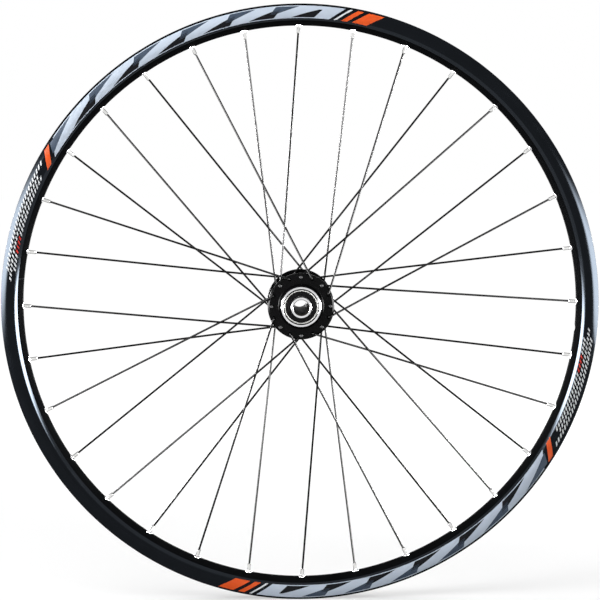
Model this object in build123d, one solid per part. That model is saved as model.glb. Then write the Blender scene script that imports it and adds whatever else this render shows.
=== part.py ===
from build123d import *
from math import atan2, cos, hypot, radians, sin
import os

# Front mountain bike wheel for a disc brake and a 15 mm through axle, without its tyre.
# Millimetres. The origin is the wheel's centre, the axle lies along Y and +Z is up.
# The disc side is +Y, called left. The other side is -Y, called right.
# Angles round the wheel run from +X towards +Z.

# Rim
bead_seat_diameter = 584.0
rim_flange_height = 6.0
rim_width = 25.0
rim_depth = 21.5
sidewall_height = 14.5
shoulder_fillet = 4.0
bed_half_width = 4.0
rim_wall = 1.7
floor_wall = 1.5
tip_fillet = 0.5
hook_depth = 0.6
hook_height = 2.2
hook_slope_height = 1.0
bead_seat_width = 3.6
well_depth = 2.8
well_slope_width = 2.4
valve_hole_diameter = 8.5
access_hole_diameter = 9.0

# Spokes, nipples and eyelets: eight-sided sections keep the many small pieces light
spoke_count = 32
crosses = 2
small_piece_sides = 8
wire_diameter = 2.0
elbow_radius = 2.0
weave_radius = 60.0
weave_gap = 0.2
elbow_lift_inside = 0.4
elbow_lift_outside = 1.0
head_diameter = 4.4
head_height = 1.6
head_taper = 15.0
head_gap = 0.05
thread_end = 4.0
nipple_drive = 3.4
nipple_corner = 0.55
nipple_reach = 7.8
nipple_head_start = 3.0
nipple_head_diameter = 6.2
nipple_head_height = 2.0
nipple_head_cone = 1.0
nipple_clearance = 0.06
eyelet_bore = 5.4
eyelet_wall = 0.4
eyelet_flange_width = 0.8
eyelet_flange_thickness = 0.6
eyelet_lip = 0.5
eyelet_clearance = 0.05

# Bearings: races and balls keep their share of the section between bore and outside
bearing_bore = 17.0
bearing_diameter = 30.0
bearing_width = 7.0
race_share = 0.26
ball_share = 0.54
ball_clearance = 0.05
bearing_fit = 0.02
seal_thickness = 0.8
seal_inset = 0.2
seal_running_gap = 0.12
seal_seat_gap = 0.04

# Axle and end caps
hub_width = 100.0
axle_bore = 15.1
axle_middle_diameter = 20.0
axle_end_reach = 4.3
cap_length = 10.0
cap_diameter = 21.0
cap_overlap_gap = 0.2
cap_fit = 0.05
cap_chamfer = 0.6

# Hub shell: the flanges are set in from the ends of the caps
right_flange_inset = 17.0
left_flange_inset = 28.0
flange_thickness = 3.2
flange_edge = 4.0
flange_flat = 2.4
flange_bevel = 1.2
flange_inner_bevel = 0.6
flange_root = 4.5
flange_cone_length = 7.0
spoke_hole_diameter = 2.8
hole_circle_rise = 7.0
shell_bore_gap = 2.5
shell_wall = 4.0
collar_wall = 7.0
collar_step = 1.5
collar_taper_length = 2.5
bearing_recess = 0.2

# Cover ring and dust seals
cover_spigot_wall = 3.0
cover_spigot_length = 1.7
cover_wall = 2.2
cover_face_thickness = 1.6
cover_bore_gap = 0.6
cover_groove_inset = 0.7
cover_groove_width = 1.4
cover_groove_depth = 0.9
cover_chamfer = 0.4
cover_clearance = 0.05
dust_seal_gap = 0.3
dust_seal_thickness = 1.1
dust_seal_rib = 0.4
dust_seal_rib_place = 0.37

# Disc mount on the left
disc_face_inset = 10.5
disc_plate_thickness = 8.5
disc_bolt_circle = 44.0
disc_bolt_count = 6
disc_bolt_hole = 4.2
disc_lobe_wall = 2.9
disc_neck_wall = 4.5
disc_spigot_wall = 2.45
disc_spigot_height = 2.0

# Sizes worked out from those above
rim_radius = bead_seat_diameter / 2 + rim_flange_height
bed_radius = rim_radius - rim_depth
half_width = rim_width / 2
floor_radius = bead_seat_diameter / 2 - well_depth
wire_radius = wire_diameter / 2
eyelet_outer = eyelet_bore / 2 + eyelet_wall
cap_radius = cap_diameter / 2
cap_end = hub_width / 2
bearing_radius = bearing_diameter / 2
bearing_section = (bearing_diameter - bearing_bore) / 2
bearing_face = cap_end - cap_length
bearing_back = bearing_face - bearing_width
race_thickness = race_share * bearing_section
ball_diameter = ball_share * bearing_section
ball_circle = (bearing_bore + bearing_diameter) / 4
axle_radius = axle_middle_diameter / 2
right_flange_offset = cap_end - right_flange_inset
left_flange_offset = cap_end - left_flange_inset
shell_bore = axle_radius + shell_bore_gap
shell_radius = shell_bore + shell_wall
collar_radius = bearing_radius + collar_wall
hole_circle = collar_radius + hole_circle_rise
flange_radius = hole_circle + flange_edge
cover_spigot = bearing_radius + cover_spigot_wall
cover_radius = cover_spigot + cover_wall
cover_bore = bearing_radius + cover_bore_gap
right_end = bearing_face + bearing_recess
cover_seat = right_end - cover_spigot_length
disc_face = cap_end - disc_face_inset
disc_spigot = bearing_radius + disc_spigot_wall
disc_neck = bearing_radius + disc_neck_wall
disc_lobe = disc_bolt_hole / 2 + disc_lobe_wall
left_end = disc_face + disc_spigot_height


def at_angle(shape, angle):
    """Turns a shape about the axle, from +X towards +Z."""
    return Rotation(0, -angle, 0) * shape


def turned(points):
    """Solid of revolution about the axle from (radius, axial) points."""
    return revolve(make_face(Polyline(*points, close=True)), Axis.Y)


def radial_cylinder(diameter, inner_radius, outer_radius):
    """Cylinder along +X between two distances from the axle."""
    length = outer_radius - inner_radius
    side = Plane(origin=(inner_radius, 0, 0), z_dir=(1, 0, 0))
    return extrude(side * Circle(diameter / 2), length)


def mirrored(half):
    """Closed outline from the points of its +Y half."""
    return half + [(radius, -axial) for radius, axial in reversed(half)]


def eight_sided(radius, across_flats=False):
    """Regular polygon with flats square to the sketch axes."""
    turn = 180 / small_piece_sides
    return RegularPolygon(radius, small_piece_sides, major_radius=not across_flats, rotation=turn)


# Rim
def rim_section():
    """Hollow section with hooked sidewalls, bead seats and a tyre well."""
    sidewall_root = rim_radius - sidewall_height
    outline = make_face(Polyline(
        *mirrored([(bed_radius, bed_half_width), (sidewall_root, half_width), (rim_radius, half_width)]),
        close=True,
    ))
    shoulders = outline.vertices().group_by(Axis.X)[1]
    outline = fillet(shoulders, shoulder_fillet)
    inner_width = half_width - rim_wall
    hook_width = inner_width - hook_depth
    hook_root = rim_radius - hook_height
    wall_top = hook_root - hook_slope_height
    seat_edge = inner_width - bead_seat_width
    open_top = rim_radius + rim_flange_height
    channel = make_face(Polyline(
        *mirrored([
            (floor_radius, seat_edge - well_slope_width),
            (bead_seat_diameter / 2, seat_edge),
            (bead_seat_diameter / 2, inner_width),
            (wall_top, inner_width),
            (hook_root, hook_width),
            (open_top, hook_width),
        ]),
        close=True,
    ))
    cavity = offset(outline, -rim_wall, kind=Kind.INTERSECTION)
    cavity -= offset(channel, floor_wall, kind=Kind.INTERSECTION)
    section = outline - channel - cavity
    tips = section.vertices().group_by(Axis.X)[-1]
    return fillet(tips, tip_fillet)


def rim():
    ring = revolve(rim_section(), Axis.Y)
    cavity_middle = (bed_radius + floor_radius) / 2
    spoke_hole = radial_cylinder(
        2 * (eyelet_outer + eyelet_clearance), bed_radius - rim_wall, cavity_middle)
    access_hole = radial_cylinder(access_hole_diameter, cavity_middle, rim_radius)
    valve_hole = radial_cylinder(valve_hole_diameter, bed_radius - rim_wall, rim_radius)
    holes = [at_angle(valve_hole, -180 / spoke_count)]
    for index in range(spoke_count):
        angle = index * 360 / spoke_count
        holes += [at_angle(spoke_hole, angle), at_angle(access_hole, angle)]
    return ring - holes


# Spokes
class Lacing:
    """Path of one kind of spoke, in the plane of the spoke and the axle's direction.

    x runs from the hub hole towards the rim and y along the axle.
    """

    def __init__(self, flange_offset, outward, head_outside):
        turn = crosses * 360 / (spoke_count / 2)
        self.hub_angle = turn if head_outside else -turn
        hub_x = hole_circle * cos(radians(self.hub_angle))
        hub_z = hole_circle * sin(radians(self.hub_angle))
        self.length = hypot(bed_radius - hub_x, hub_z)
        direction = ((bed_radius - hub_x) / self.length, 0, -hub_z / self.length)
        across = Vector(*direction).cross(Vector(0, 1, 0))
        self.plane = Plane(origin=(hub_x, 0, hub_z), x_dir=direction, z_dir=across)

        # Head on one face of the flange, elbow on the other
        outer_face = outward * (flange_offset + flange_thickness / 2)
        inner_face = outward * (flange_offset - flange_thickness / 2)
        elbow_inside = inner_face - outward * (wire_radius + elbow_lift_inside)
        elbow_outside = outer_face + outward * (wire_radius + elbow_lift_outside)
        self.elbow = elbow_inside if head_outside else elbow_outside
        self.head_way = outward if head_outside else -outward
        self.head = (outer_face if head_outside else inner_face) + self.head_way * head_gap

        # At the outer crossing the spoke with its elbow outside goes under the other
        step = radians(360 / spoke_count)
        lean = atan2(abs(hub_z), bed_radius - hub_x)
        self.crossing = self.length - bed_radius * sin(step) / sin(step + lean)
        straight = (elbow_inside + elbow_outside) / 2 * (1 - self.crossing / self.length)
        weave = outward * (wire_radius + weave_gap / 2)
        self.crossing_offset = straight + (weave if head_outside else -weave)
        self.slope = atan2(-self.crossing_offset, self.length - self.crossing)

    def spoke(self):
        end_x = self.length + thread_end * cos(self.slope)
        end_y = thread_end * sin(self.slope)
        path = FilletPolyline(
            (0, self.head),
            (0, self.elbow),
            (self.crossing, self.crossing_offset),
            (end_x, end_y),
            radius=[elbow_radius, weave_radius],
        )
        start = Plane(origin=(0, self.head, 0), x_dir=(1, 0, 0), z_dir=(0, -self.head_way, 0))
        wire = sweep(start * eight_sided(wire_radius), path)
        under_head = Plane(origin=(0, self.head, 0), x_dir=(1, 0, 0), z_dir=(0, self.head_way, 0))
        head = extrude(under_head * eight_sided(head_diameter / 2), head_height, taper=head_taper)
        return self.plane * (wire + head)

    def nipple(self):
        """Square drive towards the hub and a coned head inside the rim."""
        along = Plane(
            origin=(self.length, 0, 0),
            x_dir=(-sin(self.slope), cos(self.slope), 0),
            z_dir=(cos(self.slope), sin(self.slope), 0),
        )
        drive = chamfer(Rectangle(nipple_drive, nipple_drive).vertices(), nipple_corner)
        body = extrude(Pos(0, 0, -nipple_reach) * drive, nipple_reach + nipple_head_start)
        cone_end = nipple_head_start + nipple_head_cone
        round_top = eight_sided(nipple_head_diameter / 2)
        cone = loft([Pos(0, 0, nipple_head_start) * eight_sided(nipple_drive / 2, True),
                     Pos(0, 0, cone_end) * round_top])
        top = extrude(Pos(0, 0, cone_end) * round_top, nipple_head_height - nipple_head_cone)
        bore = extrude(eight_sided(wire_radius + nipple_clearance),
                       nipple_reach + nipple_head_start + nipple_head_height)
        whole = body + cone + top - Pos(0, 0, -nipple_reach) * bore
        return self.plane * (along * whole)


def eyelet():
    """Collar through the spoke bed, with a flange on the side of the hub."""
    bed = Plane(origin=(bed_radius - eyelet_clearance, 0, 0), x_dir=(0, 1, 0), z_dir=(1, 0, 0))
    collar_length = eyelet_clearance + rim_wall + eyelet_lip
    flange = extrude(eight_sided(eyelet_outer + eyelet_flange_width), -eyelet_flange_thickness)
    collar = extrude(eight_sided(eyelet_outer), collar_length)
    bore = extrude(eight_sided(eyelet_bore / 2, True), collar_length + eyelet_flange_thickness)
    return bed * (flange + collar - Pos(0, 0, -eyelet_flange_thickness) * bore)


# Hub
def hub_shell():
    """Two flanges on a waisted shell, with a collar on the right and the disc mount on the left."""
    right_out = -right_flange_offset - flange_thickness / 2
    right_in = -right_flange_offset + flange_thickness / 2
    left_in = left_flange_offset - flange_thickness / 2
    left_out = left_flange_offset + flange_thickness / 2
    flat = hole_circle + flange_flat
    foot = collar_radius + flange_root - collar_step
    collar_end = collar_radius - collar_step
    shell = turned([
        (bearing_radius, -right_end),
        (cover_spigot, -right_end),
        (cover_spigot, -cover_seat),
        (collar_end, -cover_seat),
        (collar_radius, -cover_seat + collar_taper_length),
        (collar_radius, right_out),
        (flat, right_out),
        (flange_radius, right_out + flange_bevel),
        (flange_radius, right_in - flange_inner_bevel),
        (flange_radius - flange_inner_bevel, right_in),
        (foot, right_in),
        (shell_radius, right_in + flange_cone_length),
        (shell_radius, left_in - flange_cone_length),
        (foot, left_in),
        (flange_radius - flange_inner_bevel, left_in),
        (flange_radius, left_in + flange_inner_bevel),
        (flange_radius, left_out - flange_bevel),
        (flat, left_out),
        (disc_neck, left_out),
        (disc_neck, disc_face),
        (disc_spigot, disc_face),
        (disc_spigot, left_end),
        (bearing_radius, left_end),
        (bearing_radius, bearing_back),
        (shell_bore, bearing_back),
        (shell_bore, -bearing_back),
        (bearing_radius, -bearing_back),
    ])
    shell = shell + disc_mount()
    hole = Cylinder(spoke_hole_diameter / 2, 2 * flange_thickness, rotation=(90, 0, 0))
    holes = []
    for index in range(spoke_count // 2):
        angle = index * 720 / spoke_count
        holes.append(at_angle(Pos(hole_circle, -right_flange_offset, 0) * hole, angle))
        holes.append(at_angle(Pos(hole_circle, left_flange_offset, 0) * hole, angle + 360 / spoke_count))
    return shell - holes


def disc_mount():
    """Six lobes round the bolt holes, in one plate behind the disc's face."""
    back = Plane(origin=(0, disc_face - disc_plate_thickness, 0), x_dir=(1, 0, 0), z_dir=(0, 1, 0))
    bolt_places = PolarLocations(disc_bolt_circle / 2, disc_bolt_count)
    arm = Rectangle(disc_bolt_circle / 2, 2 * disc_lobe, align=(Align.MAX, Align.CENTER))
    lobes = bolt_places * (Circle(disc_lobe) + arm)
    bolt_holes = bolt_places * Circle(disc_bolt_hole / 2)
    middle_of_neck = Circle((bearing_radius + disc_neck) / 2)
    plate = Circle(disc_neck) + lobes - bolt_holes - middle_of_neck
    return extrude(back * plate, disc_plate_thickness)


def cover_ring():
    """Turned ring round the right bearing, with a groove in its face."""
    inner = right_end + cover_clearance
    face = inner + cover_face_thickness
    lip = cover_bore + cover_groove_inset
    return turned([
        (cover_spigot + cover_clearance, -cover_seat - cover_clearance),
        (cover_radius, -cover_seat - cover_clearance),
        (cover_radius, -face + cover_chamfer),
        (cover_radius - cover_chamfer, -face),
        (lip + cover_groove_width, -face),
        (lip + cover_groove_width, -face + cover_groove_depth),
        (lip, -face + cover_groove_depth),
        (lip, -face),
        (cover_bore, -face),
        (cover_bore, -inner),
        (cover_spigot + cover_clearance, -inner),
    ])


def dust_seal(outer_radius, side):
    """Rubber ring with a rib, its lip just clear of the end cap."""
    inner_radius = cap_radius + seal_running_gap
    back = side * (bearing_face + dust_seal_gap)
    front = side * (bearing_face + dust_seal_gap + dust_seal_thickness)
    rib = inner_radius + dust_seal_rib_place * (outer_radius - inner_radius)
    return turned([
        (inner_radius, back),
        (outer_radius, back),
        (outer_radius, front),
        (rib + dust_seal_rib, front),
        (rib, front + side * dust_seal_rib),
        (rib - dust_seal_rib, front),
        (inner_radius, front),
    ])


def axle():
    """Tube with a shoulder behind each bearing."""
    seat = bearing_bore / 2 - bearing_fit
    shoulder = bearing_back - bearing_fit
    end = bearing_face + axle_end_reach
    return turned(mirrored([
        (axle_bore / 2, end),
        (seat, end),
        (seat, shoulder),
        (axle_radius, shoulder),
    ]))


def end_cap(side):
    """Cap over the axle's end, from the bearing to the fork."""
    inner = bearing_face + bearing_fit
    step = bearing_face + axle_end_reach + cap_overlap_gap
    counterbore = bearing_bore / 2 + cap_fit
    half = [
        (counterbore, inner),
        (cap_radius, inner),
        (cap_radius, cap_end - cap_chamfer),
        (cap_radius - cap_chamfer, cap_end),
        (axle_bore / 2, cap_end),
        (axle_bore / 2, step),
        (counterbore, step),
    ]
    return turned([(radius, side * axial) for radius, axial in half])


# Bearings
def race(back_radius, land_radius, side):
    """Bearing ring with a groove for the balls in its land."""
    middle = side * (bearing_face - bearing_width / 2)
    half = bearing_width / 2
    ring = turned([
        (back_radius, middle - half),
        (land_radius, middle - half),
        (land_radius, middle + half),
        (back_radius, middle + half),
    ])
    groove = Pos(ball_circle, middle) * Circle(ball_diameter / 2 + ball_clearance)
    return ring - revolve(groove, Axis.Y)


def ball_ring(side):
    """Space that the balls and their cage fill, as one eight-sided ring."""
    middle = side * (bearing_face - bearing_width / 2)
    return revolve(Pos(ball_circle, middle) * eight_sided(ball_diameter / 2), Axis.Y)


def bearing_seal(side, face_side):
    """Flat seal held by the outer race."""
    middle = side * (bearing_face - bearing_width / 2)
    outside = middle + face_side * (bearing_width / 2 - seal_inset)
    inside = outside - face_side * seal_thickness
    inner_radius = bearing_bore / 2 + race_thickness + seal_running_gap
    outer_radius = bearing_radius - race_thickness - seal_seat_gap
    return turned([
        (inner_radius, inside),
        (outer_radius, inside),
        (outer_radius, outside),
        (inner_radius, outside),
    ])


def bearing_pieces(name, side):
    inner_land = bearing_bore / 2 + race_thickness
    outer_land = bearing_radius - race_thickness
    return {
        f"{name}_bearing_outer_race": race(bearing_radius - bearing_fit, outer_land, side),
        f"{name}_bearing_inner_race": race(bearing_bore / 2, inner_land, side),
        f"{name}_bearing_ball_ring": ball_ring(side),
        f"{name}_bearing_outer_seal": bearing_seal(side, side),
        f"{name}_bearing_inner_seal": bearing_seal(side, -side),
    }


# Four kinds of spoke follow each other round the rim
lacings = [
    Lacing(right_flange_offset, -1, True),
    Lacing(left_flange_offset, 1, True),
    Lacing(right_flange_offset, -1, False),
    Lacing(left_flange_offset, 1, False),
]
spoke_kinds = [lacing.spoke() for lacing in lacings]
nipple_kinds = [lacing.nipple() for lacing in lacings]
one_eyelet = eyelet()

pieces = {"rim": rim()}
nipples = []
eyelets = []
for index in range(spoke_count):
    angle = index * 360 / spoke_count
    kind = index % len(lacings)
    pieces[f"spoke_{index + 1:02d}"] = at_angle(spoke_kinds[kind], angle)
    nipples.append(at_angle(nipple_kinds[kind], angle))
    eyelets.append(at_angle(one_eyelet, angle))
pieces["nipples"] = Compound(nipples)
pieces["eyelets"] = Compound(eyelets)
pieces["hub_shell"] = hub_shell()
pieces["cover_ring"] = cover_ring()
pieces["right_dust_seal"] = dust_seal(cover_bore - cover_clearance, -1)
pieces["left_dust_seal"] = dust_seal(bearing_radius - cover_clearance, 1)
pieces["axle"] = axle()
pieces["right_end_cap"] = end_cap(-1)
pieces["left_end_cap"] = end_cap(1)
pieces.update(bearing_pieces("right", -1))
pieces.update(bearing_pieces("left", 1))

os.makedirs("parts", exist_ok=True)
for name, shape in pieces.items():
    export_step(shape, f"parts/{name}.step")
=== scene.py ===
from math import asin, atan2, ceil, cos, degrees, hypot, pi, radians, sin, tan

import bmesh
import bpy
from mathutils import Matrix, Vector


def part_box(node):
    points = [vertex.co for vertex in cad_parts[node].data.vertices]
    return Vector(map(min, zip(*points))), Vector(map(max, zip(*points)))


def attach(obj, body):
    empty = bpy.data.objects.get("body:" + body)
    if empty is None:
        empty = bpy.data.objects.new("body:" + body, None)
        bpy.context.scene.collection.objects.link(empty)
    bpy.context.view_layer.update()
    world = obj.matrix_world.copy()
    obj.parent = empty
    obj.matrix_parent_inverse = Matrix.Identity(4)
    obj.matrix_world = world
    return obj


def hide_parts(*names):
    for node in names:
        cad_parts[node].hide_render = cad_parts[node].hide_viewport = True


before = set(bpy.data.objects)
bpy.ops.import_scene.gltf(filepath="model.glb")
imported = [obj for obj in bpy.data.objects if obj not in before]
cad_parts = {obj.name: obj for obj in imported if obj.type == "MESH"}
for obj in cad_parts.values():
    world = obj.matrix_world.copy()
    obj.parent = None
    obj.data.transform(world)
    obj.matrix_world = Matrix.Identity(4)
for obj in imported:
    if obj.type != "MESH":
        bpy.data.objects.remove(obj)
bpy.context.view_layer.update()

# Lengths are in millimetres and become metres when a mesh is made.
# The axle lies along Y, +Z is up, and -Y is the right side, which the photograph shows.
# Angles round the wheel are degrees from +X towards +Z.
MM = 0.001
RIGHT = -1
LEFT = 1

# Places of the materials in a piece's list
RIM_SIDE, RIM_BED, RIM_CHANNEL, RIM_SHOULDER = range(4)
WORN_HEAD = 1
# The nipples' drive corners take a painted dark reflection
DRIVE_PAINTED_DARK_CORNER = 1
COVER_BAND, COVER_PAINTED_SHADE_GROOVE, COVER_LIP = range(3)
CAP_END, CAP_BORE, CAP_BARREL = range(3)

# Meshes: an arc has a chord for each step in degrees and a support point beside each end
arc_step = 10.0
arc_support = 0.2
arc_support_share = 0.125
sharp_angle = 32.0
weld_gap = 0.001
rim_hole_sides = 32
hub_hole_sides = 24
tiny = 1e-9

# Rim
rim_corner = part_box("rim")[1]
rim_radius = rim_corner.x / MM
rim_half_width = rim_corner.y / MM
bead_seat_radius = 292.0
bed_radius = rim_radius - 21.5
bed_half_width = 2.2
bed_fillet = 6.0
shoulder_radius = rim_radius - 16.2
shoulder_fillet = 7.0
bed_edge = rim_radius - 16.6
shoulder_edge = rim_radius - 12.2
crown_radius = rim_radius - 7.5
crown_curve = 26.0
crown_start = rim_radius - 10.0
crown_end = rim_radius - 1.0
crown_steps = 9
tip_fillet = 0.5
hook_inside = 10.2
hook_height = 2.2
hook_slope = 1.0
channel_half_width = 10.8
seat_width = 3.6
well_depth = 2.8
well_slope = 2.4
rim_wall = 1.7
channel_margin = rim_wall / 3
floor_wall = 1.5
access_hole = 9.0
valve_hole = 8.5
valve_angle = -5.625
seam_angle = 174.4
seam_half_width = 0.18
rim_segments = 384

# Spokes: the head's dome is a list of heights above the flange and radii
spoke_count = 32
spoke_step = 360 / spoke_count
hub_turn = 45.0
wire_radius = 1.0
elbow_fillet = 2.0
weave_fillet = 60.0
weave_step = 0.5
weave_gap = 0.2
elbow_lift_inside = 0.4
elbow_lift_outside = 1.0
head_gap = 0.05
head_dome = [(1.6, 0.5), (1.52, 1.0), (1.35, 1.45), (1.05, 1.85), (0.6, 2.12), (0.25, 2.2), (0.0, 2.12)]
head_worn_rings = 2
thread_end = 4.0
wire_sides = 16

# Nipples: a section has its height above the spoke bed, half its width and the radius of its corners
nipple_half = 1.65
nipple_corner = 0.5
nipple_tip = -7.8
nipple_bore = 1.06
nipple_sides = 32
drive_rings = 3
slot_half_width = 0.5
slot_depth = 0.9
slot_slope = 0.05
nipple_top = 5.0
nipple_sections = [
    (nipple_tip, 1.35, 1.35),
    (nipple_tip + 0.35, nipple_half, nipple_half * 0.75),
    (nipple_tip + 0.8, nipple_half, nipple_corner),
    (-1.6, nipple_half, nipple_corner),
    (-1.0, 1.95, 1.95),
    (3.0, 1.95, 1.95),
    (4.0, 3.05, 3.05),
    (4.2, 3.1, 3.1),
    (4.8, 3.1, 3.1),
    (nipple_top, 2.9, 2.9),
]

# Eyelets
eyelet_bore = 2.7
eyelet_outer = 3.1
eyelet_flange = 3.9
eyelet_thickness = 0.6
eyelet_lip = 0.5
eyelet_gap = 0.05
eyelet_segments = 32

# Hub
hub_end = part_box("right_end_cap")[0].y / -MM
right_flange = 33.0
left_flange = 22.0
flange_half = 1.6
flange_radius = 33.0
flange_bevel = 1.6
flange_bevel_depth = 1.2
flange_back_bevel = 0.6
hole_circle = 29.0
spoke_hole = 1.4
spoke_hole_mouth = 2.0
spoke_hole_ease = 0.5
spoke_hole_overshoot = 0.3
collar_radius = 22.0
collar_end = 20.5
collar_taper = 2.5
bearing_radius = 15.0
bearing_back = 33.0
shell_bore = 12.5
waist_radius = 16.5
flange_foot = 25.0
cone_length = 7.0
cover_spigot = 18.0
cover_seat = 38.5
right_end = 40.2
disc_neck = 19.5
disc_face = 39.5
disc_spigot = 17.45
left_end = 41.5
disc_bolt_circle = 22.0
disc_bolt_hole = 2.1
bolt_hole_overshoot = 1.0
bolt_ease = 0.5
bolt_ease_width = 0.7
bolt_ease_overshoot = 0.2
tab_half = 5.0
tab_reach = 27.0
tab_back = 31.0
tab_setback = 0.02
tab_tip_flat = 0.25
tab_flare = 2.6
tab_flare_start = 0.6
tab_flare_fillet = 2.0
tab_foot_depth = 1.6
tab_root_depth = 2.5
disc_bolts = 6
hub_segments = 192

# Cover ring, seals and end caps
cover_radius = 19.75
cover_bore = 15.6
cover_back = 38.55
cover_inside = 40.25
cover_face = 41.85
cover_band = 17.8
cover_groove = 16.75
cover_groove_floor = 40.9
cover_lip = 41.5
cover_fit = 0.05
cover_band_draft = 0.3
cover_groove_draft = 0.15
cap_radius = 10.15
cap_inside = 40.02
cap_bore = 7.55
cap_mouth = 8.15
cap_mouth_depth = 1.4
cap_counterbore = 8.55
cap_step = 44.5
cap_bright_edge = 0.65
seal_back = 40.3
seal_front = 41.4
seal_lip = 10.62
seal_fit = 0.05
seal_rib_shares = (0.36, 0.72)
seal_rib_half = 0.4
seal_rib_height = 0.4
face_slack = 0.05

# Graphics on the rim's sides: angles run on from the end with the orange slashes
graphic_starts = [73.0, 253.0]
graphic_inner = rim_radius - 14.2
graphic_outer = rim_radius - 2.0
graphic_height = graphic_outer - graphic_inner
graphic_lean = -3.0
graphic_thickness = 0.05
sheet_row = 1.2
sheet_column = 0.75
first_layer = 1
second_layer = 2
orange_slashes = [(3.4, 6.4), (7.4, 8.6), (77.0, 78.6)]
white_line = (9.6, 10.1)
pale_band = (11.0, 75.5)

# Zigzag on the pale band: each tooth is a little wider than the one before. Its pitch is in tooth bases,
# rise and margin are shares of the height, and tips and lean are angles from the base.
zigzag_start = 14.0
zigzag_teeth = 6
zigzag_base = 4.6
zigzag_growth = 0.45
zigzag_pitch = 1.75
zigzag_rise = 0.66
zigzag_margin = 0.06
black_tip = (-1.6, -1.0)
slate_tip = (-0.4, 0.2)
slate_lean = -1.2

# Rows of ticks: first and last angle, lowest and highest share of the height
tick_rows = [
    (81.0, 101.0, 0.10, 0.30),
    (82.0, 104.0, 0.38, 0.56),
    (80.0, 103.0, 0.64, 0.86),
]
tick_pitch = 0.9
tick_width = 0.45
red_ticks = range(14, 18)

# Materials: most of a noise lies in its span, and the tint is that of black gloss
noise_span = (0.3, 0.7)
black_tint = (0.72, 0.84, 1.0)
seam_grey = (0.16, 0.16, 0.17)

# Camera, found from the rim's outline, the spokes' lines and the hub's rings in the photograph
photo_pixels = 600
camera_azimuth = -1.2
camera_elevation = 4.98
camera_roll = -0.33
camera_distance = 2460.0
focal_pixels = 2457.0
aim_point = Vector((-0.3, 0.0, 3.4))
sensor_width = 36.0
clip_start = 0.05
clip_end = 100.0

# Floor and world: the floor's glow grows with the distance from the wheel, in metres
floor_reach = 9000.0
floor_grey = 0.38
glow_distance = (0.3, 2.2)
glow_strength = (0.55, 0.98)
world_light = 0.07
world_white = 1.0

# Soft keys, which light colours only: name, position, target, length and height, radiance
keys = [
    ("key", (-750, -720, 850), (-150, 0, 150), (1200, 1200), 5.7),
    ("back_key", (750, 950, 850), (0, 0, 0), (1400, 1400), 4.2),
]

# Side panels, which only gloss shows: word, side and height, then end, middle along the axle and length.
# Each fades out over a share of its length and height.
panel_sides = [("left", -1, 90), ("right", 1, -40)]
panel_ends = [("front", -1550, 4300), ("back", 2400, 2000)]
panel_distance = 1200
panel_height = 820
panel_radiance = 76.0
panel_fade = 0.36


# Outlines
def corner_arc(before, here, after, fillet, step=arc_step, support=arc_support):
    """Points that round the corner at here, with a support point beside each end of the arc."""
    if fillet == 0:
        return [here]
    into = (here - before).normalized()
    out = (after - here).normalized()
    turn = atan2(into.x * out.y - into.y * out.x, into.dot(out))
    reach = fillet * tan(abs(turn) / 2)
    start = here - into * reach
    side = Vector((-into.y, into.x)) * (1 if turn > 0 else -1)
    centre = start + side * fillet
    spoke = start - centre
    count = max(2, ceil(degrees(abs(turn)) / step))
    margin = min(support, fillet * arc_support_share)
    points = []
    for index in range(count + 1):
        angle = turn * index / count
        points.append(centre + Vector((
            spoke.x * cos(angle) - spoke.y * sin(angle),
            spoke.x * sin(angle) + spoke.y * cos(angle),
        )))
    if margin > 0:
        points = [start - into * margin] + points + [points[-1] + out * margin]
    return points


def rounded(corners):
    """Closed outline, anticlockwise, from (x, y, fillet) corners."""
    places = [Vector(corner[:2]) for corner in corners]
    outline = []
    for index, corner in enumerate(corners):
        after = places[(index + 1) % len(places)]
        outline += corner_arc(places[index - 1], places[index], after, corner[2])
    area = sum(a.x * b.y - b.x * a.y for a, b in zip(outline, outline[1:] + outline[:1]))
    return outline if area > 0 else outline[::-1]


def both_sides(half):
    """Corners of a symmetric outline from those of its +Y half."""
    return half + [(radius, -axial, fillet) for radius, axial, fillet in reversed(half)]


def turns(count):
    """Angles of equal steps round a circle, in radians."""
    return [2 * pi * index / count for index in range(count)]


# Shapes are pairs of vertices and faces
def lathe(outline, segments):
    """Closed outline of (radius, axial) points turned about the axle."""
    loops = []
    for angle in turns(segments):
        loops.append([Vector((radius * cos(angle), axial, radius * sin(angle))) for radius, axial in outline])
    return rings(loops, closed=True)


def rings(loops, closed=False):
    """Skin over loops of equally many points, with flat ends unless the loops close on themselves."""
    count = len(loops[0])
    vertices = [point for loop in loops for point in loop]
    faces = []
    for turn in range(len(loops) if closed else len(loops) - 1):
        here = turn * count
        there = (turn + 1) % len(loops) * count
        for index in range(count):
            following = (index + 1) % count
            faces.append((here + index, here + following, there + following, there + index))
    if not closed:
        faces.append(tuple(reversed(range(count))))
        faces.append(tuple(range((len(loops) - 1) * count, len(loops) * count)))
    return vertices, faces


def moved(shape, matrix):
    vertices, faces = shape
    return [matrix @ vertex for vertex in vertices], faces


def joined(shapes):
    vertices = []
    faces = []
    for part_vertices, part_faces in shapes:
        first = len(vertices)
        vertices += part_vertices
        faces += [tuple(first + index for index in face) for face in part_faces]
    return vertices, faces


def round_axle(angle):
    """Turn about the axle, from +X towards +Z."""
    return Matrix.Rotation(-radians(angle), 4, "Y")


def radial_pin(radius, inner, outer):
    """Cylinder along +X between two distances from the axle."""
    loops = [[], []]
    for turn in turns(rim_hole_sides):
        for loop, distance in zip(loops, (inner, outer)):
            loop.append(Vector((distance, radius * cos(turn), radius * sin(turn))))
    return rings(loops)


def axial_plug(outline):
    """Plug along Y from (radius, axial) points, to cut a hole with."""
    loops = []
    for radius, axial in outline:
        loop = [Vector((radius * cos(turn), axial, radius * sin(turn))) for turn in turns(hub_hole_sides)]
        loops.append(loop)
    return rings(loops)


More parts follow.
